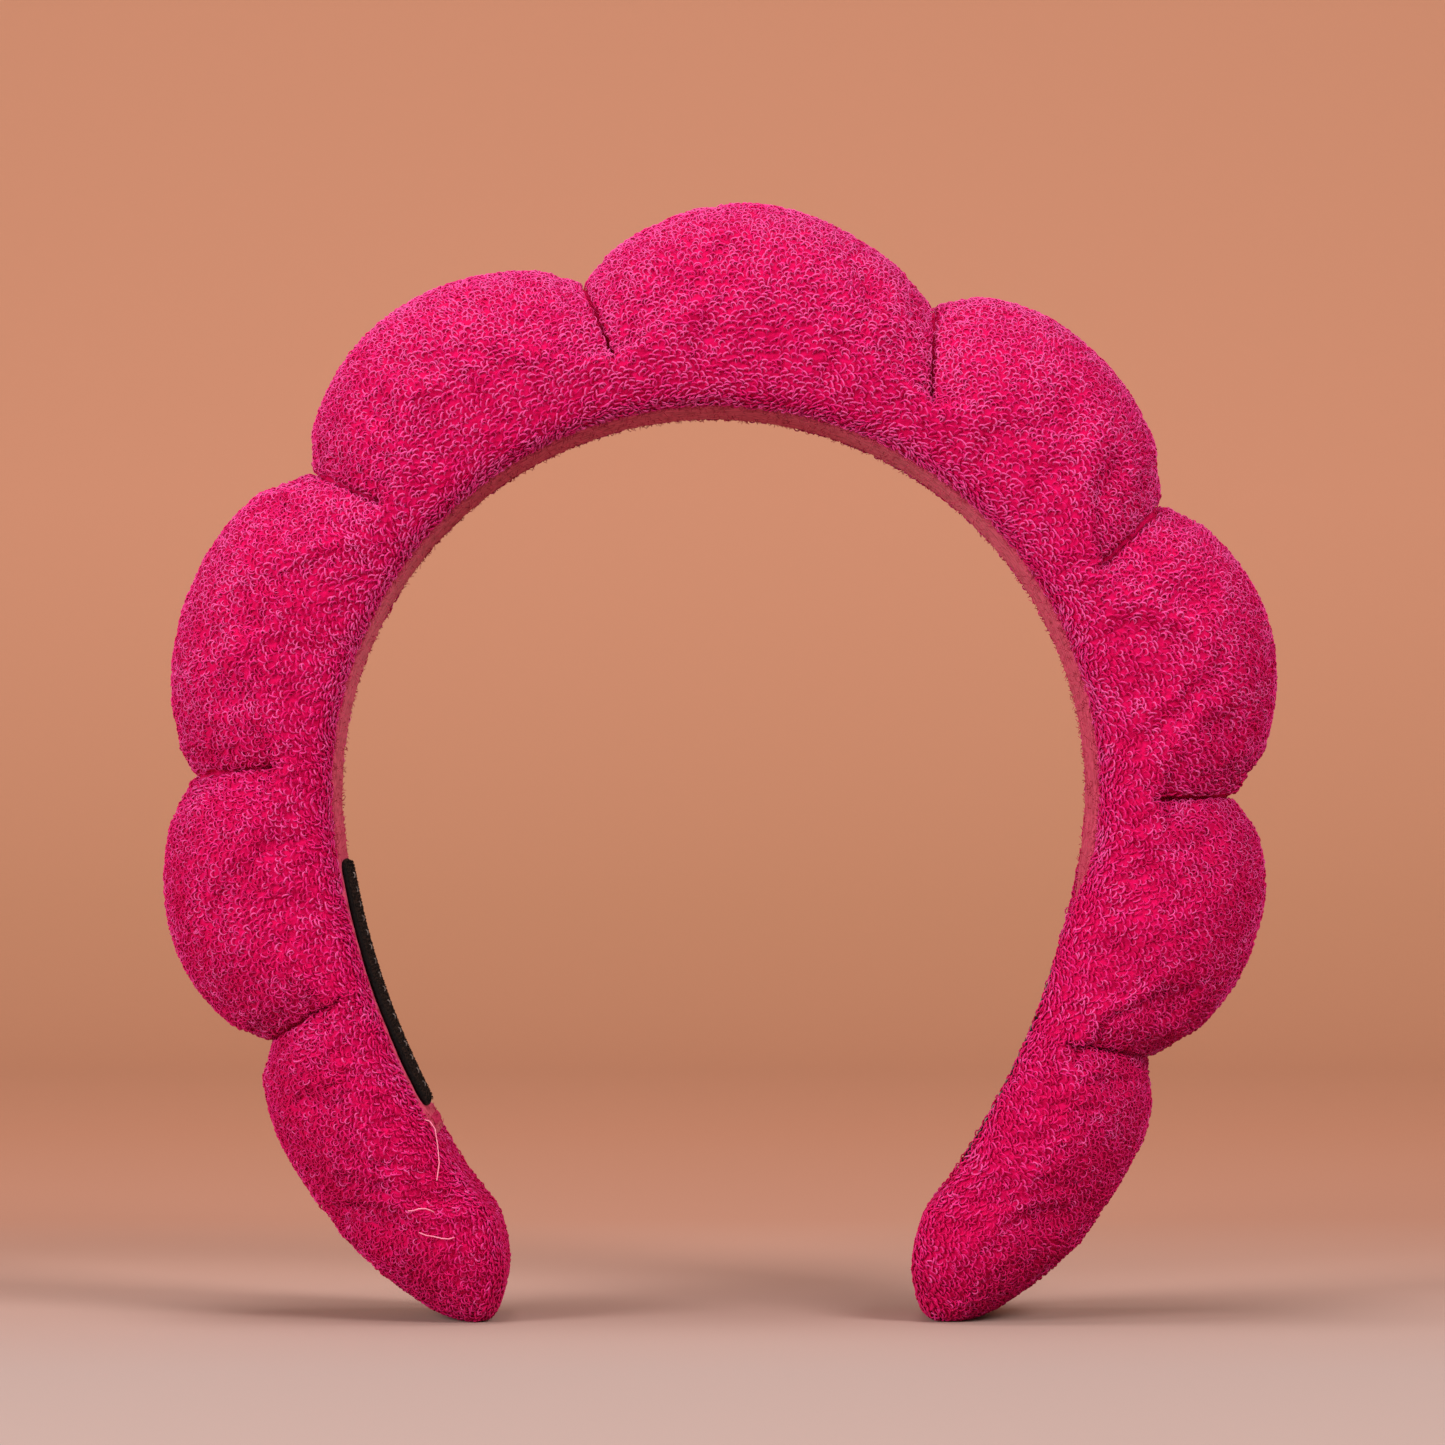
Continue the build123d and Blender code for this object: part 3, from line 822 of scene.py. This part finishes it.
def make_hooks(name, first, material):
    """The short black hooks and fuzz that cover a grip strip."""
    side = np.sign(first)
    half_length = GRIP_LENGTH / 2
    a, y = np.meshgrid(np.arange(0.7 * MM, GRIP_LENGTH - 0.5 * MM, HOOK_PITCH),
                       np.arange(-GRIP_HALF_WIDTH + 0.5 * MM, GRIP_HALF_WIDTH - 0.3 * MM, HOOK_PITCH))
    a = a.ravel() + random.normal(0, 0.15 * MM, a.size)
    y = y.ravel() + random.normal(0, 0.15 * MM, y.size)
    corner = np.hypot(np.maximum(np.abs(a - half_length) - half_length + GRIP_CORNER, 0),
                      np.maximum(np.abs(y) - GRIP_HALF_WIDTH + GRIP_CORNER, 0))
    keep = corner < GRIP_CORNER - 0.3 * MM
    a, y = a[keep], y[keep]
    turn = random.uniform(0, 2 * pi, len(a))
    tall = random.uniform(0.1, 0.22, len(a)) * MM
    paths = []
    for step in range(HOOK_STEPS):
        angle = pi * step / (HOOK_STEPS - 1)
        along = HOOK_REACH * np.cos(angle) * np.cos(turn)
        over = HOOK_REACH * np.cos(angle) * np.sin(turn)
        height = GRIP_HEIGHT - 0.1 * MM + tall * sin(angle)
        paths.append([on_band(s, d, h) for s, d, h in zip(first + side * a + along, y + over, height)])
    hooks, quads = tubes(np.array(paths).swapaxes(0, 1), HOOK_RADIUS)
    return mesh_object(name, hooks, quads, material)


def stitch_paths(stations, depths, height, length):
    """Paths of stitches along the band that dip into the cloth at both ends."""
    paths = []
    for station, depth in zip(stations, depths):
        path = []
        for share, rise in STITCH_SHAPE:
            path.append(on_band(station + share * length, depth, height + rise))
        paths.append(path)
    return np.array(paths)


def make_grip_stitches(name, first, material):
    """The row of light stitches along a grip strip."""
    side = np.sign(first)
    stations = first + side * np.arange(3 * MM, GRIP_LENGTH - 2.5 * MM, STITCH_PITCH)
    depths = np.full(len(stations), GRIP_STITCH_ROW)
    points, quads = tubes(stitch_paths(stations, depths, GRIP_HEIGHT + 0.1 * MM, 1.0 * MM), 0.12 * MM, 6)
    return mesh_object(name, points, quads, material)


def make_hem_stitches(name, side, material):
    """Stitches across the lower end of the lining."""
    depths = (np.arange(HEM_STITCHES) - HEM_STITCHES // 2) * HEM_PITCH
    stations = np.full(HEM_STITCHES, LINING_STOPS[side] - np.sign(LINING_STOPS[side]) * 2 * MM)
    points, quads = tubes(stitch_paths(stations, depths, 0.1 * MM, 1.8 * MM), 0.2 * MM, 6)
    return mesh_object(name, points, quads, material)


def make_rim_stitches(material):
    """Stitches that join the lining to each rim of the terry, in left and right halves."""
    stations = np.arange(LINING_STOPS["left"] + 2 * MM, LINING_STOPS["right"] - 2 * MM, RIM_STITCH_PITCH)
    made = []
    for side, mask in sides_of(stations):
        both = np.tile(stations[mask], 2)
        depths = np.repeat((-RIM_STITCH_DEPTH, RIM_STITCH_DEPTH), len(both) // 2)
        paths = stitch_paths(both, depths, -0.85 * MM, 0.72 * RIM_STITCH_PITCH)
        points, quads = tubes(paths, 0.17 * MM, 5)
        made.append(mesh_object(f"rim_stitches_{side}", points, quads, material))
    return made


def make_cinch_thread(name, station, stations, points, material):
    """The thread at the bottom of one cinch's crease, sunk between the two puffs; its dark colour is a
    painted shade of the crease.
    """
    column = int(np.argmin(np.abs(stations - station)))
    drawn = np.flatnonzero(refined(crease_share(), REFINEMENT, around=True) > CREASE_THREAD_SHARE)
    line = points[column, drawn]
    inwards = points[column].mean(axis=0) - line
    path = line + CREASE_THREAD_DEPTH * unit(inwards)
    tube, quads = tubes(path[None], CREASE_THREAD_RADIUS, 6)
    return mesh_object(name, tube, quads, material)


def make_loose_threads(points, material):
    """Threads of the pile that have pulled loose on the front of the left end puff."""
    front = points[points[:, :, 1] < 0]
    paths = []
    for loose in LOOSE_THREADS:
        path = []
        for number, (x, z) in enumerate(loose):
            place = np.array((x * MM, CENTRE_HEIGHT + z * MM))
            nearest = front[np.argmin(np.hypot(front[:, 0] - place[0], front[:, 2] - place[1]))]
            lift = LOOSE_LIFT_ENDS if number in (0, len(loose) - 1) else LOOSE_LIFT
            path.append((place[0], nearest[1] - lift, place[1]))
        paths.append(path)
    tube, quads = tubes(np.array(paths), LOOSE_THREAD_RADIUS, 5)
    return mesh_object("loose_threads_left", tube, quads, material)


def make_nap(material):
    """The fibres of the lining's nap that stand off its surface and its edges, in halves."""
    stations = random.uniform(LINING_STOPS["left"], LINING_STOPS["right"], NAP_FIBRES)
    edge = np.sign(random.uniform(-1, 1, NAP_FIBRES))
    on_edge = random.uniform(0, 1, NAP_FIBRES) < NAP_ON_EDGES
    from_edge = random.exponential(NAP_EDGE_DEPTH, NAP_FIBRES)
    anywhere = random.uniform(-1, 1, NAP_FIBRES) * LINING_HALF_WIDTH
    depths = np.where(on_edge, edge * (LINING_HALF_WIDTH - from_edge), anywhere)
    turn = random.uniform(0, 2 * pi, NAP_FIBRES)
    root = lining_drop(depths / LINING_HALF_WIDTH) - 0.08 * MM
    tall = random.uniform(0.2, 0.75, NAP_FIBRES) * MM
    for side, first in GRIP_STARTS.items():
        away = (stations - first) * np.sign(first)
        tall[(away > -0.5 * MM) & (away < GRIP_LENGTH + 0.5 * MM)] = 0.02 * MM
    paths = []
    for share in (0, 0.5, 1):
        bend = share**2 * tall * 0.9
        along = stations + np.cos(turn) * bend
        across = depths + np.sin(turn) * bend
        paths.append([on_band(s, y, h) for s, y, h in zip(along, across, root + share * tall)])
    paths = np.array(paths).swapaxes(0, 1)
    made = []
    for side, mask in sides_of(stations):
        points, quads = tubes(paths[mask], 0.06 * MM)
        made.append(mesh_object(f"lining_nap_{side}", points, quads, material))
    return made


# -------- materials

def new_material(name, roughness, specular=0.5):
    """A material and its node tree's parts."""
    material = bpy.data.materials.new(name)
    material.use_nodes = True
    shader = material.node_tree.nodes["Principled BSDF"]
    shader.inputs["Roughness"].default_value = roughness
    shader.inputs["Specular IOR Level"].default_value = specular
    return material, material.node_tree, shader


def noise_colour(tree, shader, place, scale, low, high, detail=4.0, spread=(0.35, 0.65)):
    """Colour that wanders between two shades with noise of a scale."""
    texture = tree.nodes.new("ShaderNodeTexNoise")
    texture.inputs["Scale"].default_value = scale
    texture.inputs["Detail"].default_value = detail
    ramp = tree.nodes.new("ShaderNodeValToRGB")
    for element, position, shade in zip(ramp.color_ramp.elements, spread, (low, high)):
        element.position = position
        element.color = (*shade, 1)
    tree.links.new(place.outputs["Object"], texture.inputs["Vector"])
    tree.links.new(texture.outputs["Fac"], ramp.inputs["Fac"])
    tree.links.new(ramp.outputs["Color"], shader.inputs["Base Color"])


def fine_relief(tree, shader, place, scale, strength, distance, kind="Noise"):
    """Fine relief from noise or cells of a scale."""
    texture = tree.nodes.new(f"ShaderNodeTex{kind}")
    texture.inputs["Scale"].default_value = scale
    bump = tree.nodes.new("ShaderNodeBump")
    bump.inputs["Strength"].default_value = strength
    bump.inputs["Distance"].default_value = distance
    output = "Fac" if kind == "Noise" else "Distance"
    tree.links.new(place.outputs["Object"], texture.inputs["Vector"])
    tree.links.new(texture.outputs[output], bump.inputs["Height"])
    tree.links.new(bump.outputs["Normal"], shader.inputs["Normal"])


def mottled(name, roughness, colour, relief, specular=0.5):
    """A material whose colour wanders in object space, with fine relief over it."""
    material, tree, shader = new_material(name, roughness, specular)
    place = tree.nodes.new("ShaderNodeTexCoord")
    noise_colour(tree, shader, place, *colour)
    fine_relief(tree, shader, place, *relief)
    return material


def add_sheen(material, weight, tint):
    """Give a material the pale bloom of a fibrous surface."""
    shader = material.node_tree.nodes["Principled BSDF"]
    shader.inputs["Sheen Weight"].default_value = weight
    shader.inputs["Sheen Tint"].default_value = (*tint, 1)


def terry_material():
    """The ground cloth under the pile: deep pink, mottled, rough, and darker than the loops as a painted
    shade for the depth of the pile.
    """
    relief = (850, 0.9, 0.5 * MM, "Voronoi")
    return mottled("terry_ground", 0.95, (1500, TERRY_DEEP, TERRY_GROUND), relief, 0.1)


def yarn_material(name, shade):
    """One shade of the pile's yarn."""
    material, _, shader = new_material(name, 0.75, 0.1)
    shader.inputs["Base Color"].default_value = (*shade, 1)
    add_sheen(material, 0.14, (1.0, 0.14, 0.4))
    return material


def lining_material():
    """Short velvety nap in dusty rose, with small dark specks."""
    colour = (800, LINING_DARK, LINING_ROSE, 3.0, (0.36, 0.56))
    material = mottled("lining_nap", 0.95, colour, (1200, 0.8, 0.3 * MM), 0.1)
    add_sheen(material, 0.12, (1.0, 0.5, 0.5))
    return material


def hook_tape_material():
    """Black woven tape."""
    colour = (2500, (0.001, 0.001, 0.001), (0.007, 0.005, 0.005))
    return mottled("hook_tape_black", 0.85, colour, (2200, 0.7, 0.2 * MM), 0.15)


def thread_material(name, low, high):
    """Twisted sewing thread."""
    return mottled(name, 0.8, (1500, low, high), (3000, 0.5, 0.1 * MM), 0.15)


def foam_material():
    """Open-celled foam, pale."""
    colour = (600, (0.7, 0.64, 0.5), (0.86, 0.82, 0.7))
    return mottled("foam_cells", 0.9, colour, (1500, 0.8, 0.3 * MM, "Voronoi"))


def hoop_material():
    """Moulded off-white plastic with a faint grain."""
    colour = (90, (0.78, 0.78, 0.75), (0.84, 0.84, 0.81))
    return mottled("hoop_plastic", 0.45, colour, (700, 0.08, 0.1 * MM))


def floor_material():
    """A pale, matt sweep: pinkish beige where the object stands, warmer behind, and darker near the
    object than far back as a painted shade.
    """
    material, tree, shader = new_material("pale_sweep", 0.8)
    place = tree.nodes.new("ShaderNodeTexCoord")
    split = tree.nodes.new("ShaderNodeSeparateXYZ")
    ramp = tree.nodes.new("ShaderNodeValToRGB")
    span = tree.nodes.new("ShaderNodeMapRange")
    nearest = SWEEP_COLOURS_AND_SHADE[0][0]
    farthest = SWEEP_COLOURS_AND_SHADE[-1][0]
    span.inputs["From Min"].default_value = nearest
    span.inputs["From Max"].default_value = farthest
    ramp.color_ramp.elements[0].color = (*SWEEP_COLOURS_AND_SHADE[0][1], 1)
    ramp.color_ramp.elements[1].color = (*SWEEP_COLOURS_AND_SHADE[-1][1], 1)
    for distance, colour in SWEEP_COLOURS_AND_SHADE[1:-1]:
        stop = ramp.color_ramp.elements.new((distance - nearest) / (farthest - nearest))
        stop.color = (*colour, 1)
    tree.links.new(place.outputs["Object"], split.inputs["Vector"])
    tree.links.new(split.outputs["Y"], span.inputs["Value"])
    tree.links.new(span.outputs["Result"], ramp.inputs["Fac"])
    tree.links.new(ramp.outputs["Color"], shader.inputs["Base Color"])
    return material


# -------- stage, light and camera

def add_light(name, place, size, power, colour):
    """A soft square lamp that points at the middle of the opening."""
    lamp = bpy.data.lights.new(name, "AREA")
    lamp.size = size
    lamp.energy = power
    lamp.color = colour
    made = bpy.data.objects.new(name, lamp)
    made.location = place
    aim = Vector((0, 0, CENTRE_HEIGHT)) - Vector(place)
    made.rotation_euler = aim.to_track_quat("-Z", "Y").to_euler()
    bpy.context.scene.collection.objects.link(made)


def make_sweep():
    """The floor and backdrop in one sheet that curves up far behind the object."""
    turn = np.linspace(0, pi / 2, 25)
    curve = zip(SWEEP_START + SWEEP_RADIUS * np.sin(turn), SWEEP_RADIUS * (1 - np.cos(turn)))
    profile = [(-4.0, 0.0), *curve, (SWEEP_START + SWEEP_RADIUS, 5.0)]
    points = np.array([[(x, y, z - 0.05 * MM) for y, z in profile] for x in (-5.0, 5.0)])
    count = len(profile)
    low = np.arange(count - 1)
    quads = np.stack((low, low + count, low + count + 1, low + 1), axis=1)
    return mesh_object("sweep", points, quads, floor_material())


def make_stage():
    """The sweep, the lamps and the world, and the camera at the photographed angle."""
    make_sweep()
    for lamp in LAMPS:
        add_light(*lamp)
    world = bpy.data.worlds.new("studio")
    bpy.context.scene.world = world
    world.use_nodes = True
    background = world.node_tree.nodes["Background"]
    background.inputs["Color"].default_value = (*WORLD_COLOUR, 1)
    background.inputs["Strength"].default_value = WORLD_STRENGTH
    lens = bpy.data.cameras.new("camera")
    lens.sensor_width = 36
    lens.lens = lens.sensor_width * CAMERA_DISTANCE / VIEW_WIDTH
    camera = bpy.data.objects.new("camera", lens)
    camera.location = CAMERA_PLACE
    gaze = Vector(CAMERA_TARGET) - Vector(CAMERA_PLACE)
    camera.rotation_euler = gaze.to_track_quat("-Z", "Y").to_euler()
    bpy.context.scene.collection.objects.link(camera)
    bpy.context.scene.camera = camera
    bpy.context.scene.view_settings.view_transform = "Standard"


# -------- putting it together


def bend(piece):
    """Bake a piece's transform into its mesh."""
    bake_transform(piece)


CINCH_NAMES = ("left_4", "left_3", "left_2", "left_1", "right_1", "right_2", "right_3", "right_4")

make_stage()
sleeve_stations, sleeve, sleeve_normals = make_sleeve()
columns, ring_count = sleeve.shape[:2]
sleeve_faces = grid_faces(columns, ring_count)[:, ::-1]
point_stations = np.repeat(sleeve_stations, ring_count)
terry = terry_material()
sleeve_halves = halves("terry_sleeve", sleeve.reshape(-1, 3), sleeve_faces, point_stations, terry)
COVERS = (
    ("crown", "left_1", "left_2", "left_3", "left_4"),
    ("right_1", "right_2", "right_3", "right_4"),
)
for half, names in zip(sleeve_halves, COVERS):
    bend(half)
    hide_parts(*(f"cover_{n}" for n in names))

for pile in make_pile(sleeve_stations, sleeve, sleeve_normals):
    bend(pile)

nap = lining_material()
LINING_CUTS = ((("lining_crown", "lining_left"), SPLIT_STATION - LINING_STOPS["left"]),
               (("lining_right",), LINING_STOPS["right"] - SPLIT_STATION))
for half, (names, length) in zip(make_lining(nap), LINING_CUTS):
    bend(half)
    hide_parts(*names)
for fibres in make_nap(nap):
    bend(fibres)

rose_thread = thread_material("rose_thread", (0.36, 0.012, 0.06), (0.5, 0.025, 0.10))
# the crease thread is dark crimson, far darker than the yarn, as a painted shade for the depth of the
# crease
crease_thread = thread_material("crease_thread", (0.14, 0.001, 0.02), (0.24, 0.002, 0.035))
pulled_thread = thread_material("pulled_thread", (0.72, 0.16, 0.28), (0.82, 0.28, 0.40))
dull_thread = thread_material("dull_thread", (0.10, 0.08, 0.075), (0.30, 0.24, 0.22))
tape = hook_tape_material()
RIM_THREADS = (("rim_thread_crown", "rim_thread_left"), ("rim_thread_right",))
for half, names in zip(make_rim_stitches(rose_thread), RIM_THREADS):
    bend(half)
    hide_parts(*names)

for side, first in GRIP_STARTS.items():
    grip = make_grip(f"grip_{side}", first, tape)
    hooks = make_hooks(f"grip_hooks_{side}", first, tape)
    stitches = make_grip_stitches(f"grip_stitches_{side}", first, dull_thread)
    hem = make_hem_stitches(f"hem_stitches_{side}", side, rose_thread)
    for piece in (grip, hooks, stitches, hem):
        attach(piece, f"{side}_leg")
    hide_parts(f"grip_strip_{side}")
    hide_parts(f"grip_stitching_{side}")
    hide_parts(f"hem_stitching_{side}")

loose = make_loose_threads(sleeve, pulled_thread)
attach(loose, "left_leg")

for cinch_name, cinch in zip(CINCH_NAMES, CINCHES):
    side, number = cinch_name.split("_")
    label = f"crease_thread_{number}_{side}"
    thread = make_cinch_thread(label, cinch[0], sleeve_stations, sleeve, crease_thread)
    if number == "2":
        bend(thread)
    else:
        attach(thread, "crown" if number == "1" else f"{side}_leg")
    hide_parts(f"cinch_thread_{cinch_name}")

for name, block in make_foam(foam_material()).items():
    if name.endswith(("_1", "_2")):
        bend(block)
    else:
        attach(block, "crown" if name == "crown" else name.split("_")[0] + "_leg")
    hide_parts(f"filling_{name}")

# the hoop keeps its CAD shape
plastic = hoop_material()
for node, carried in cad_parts.items():
    if node.startswith("hoop"):
        carried.data.materials.clear()
        carried.data.materials.append(plastic)
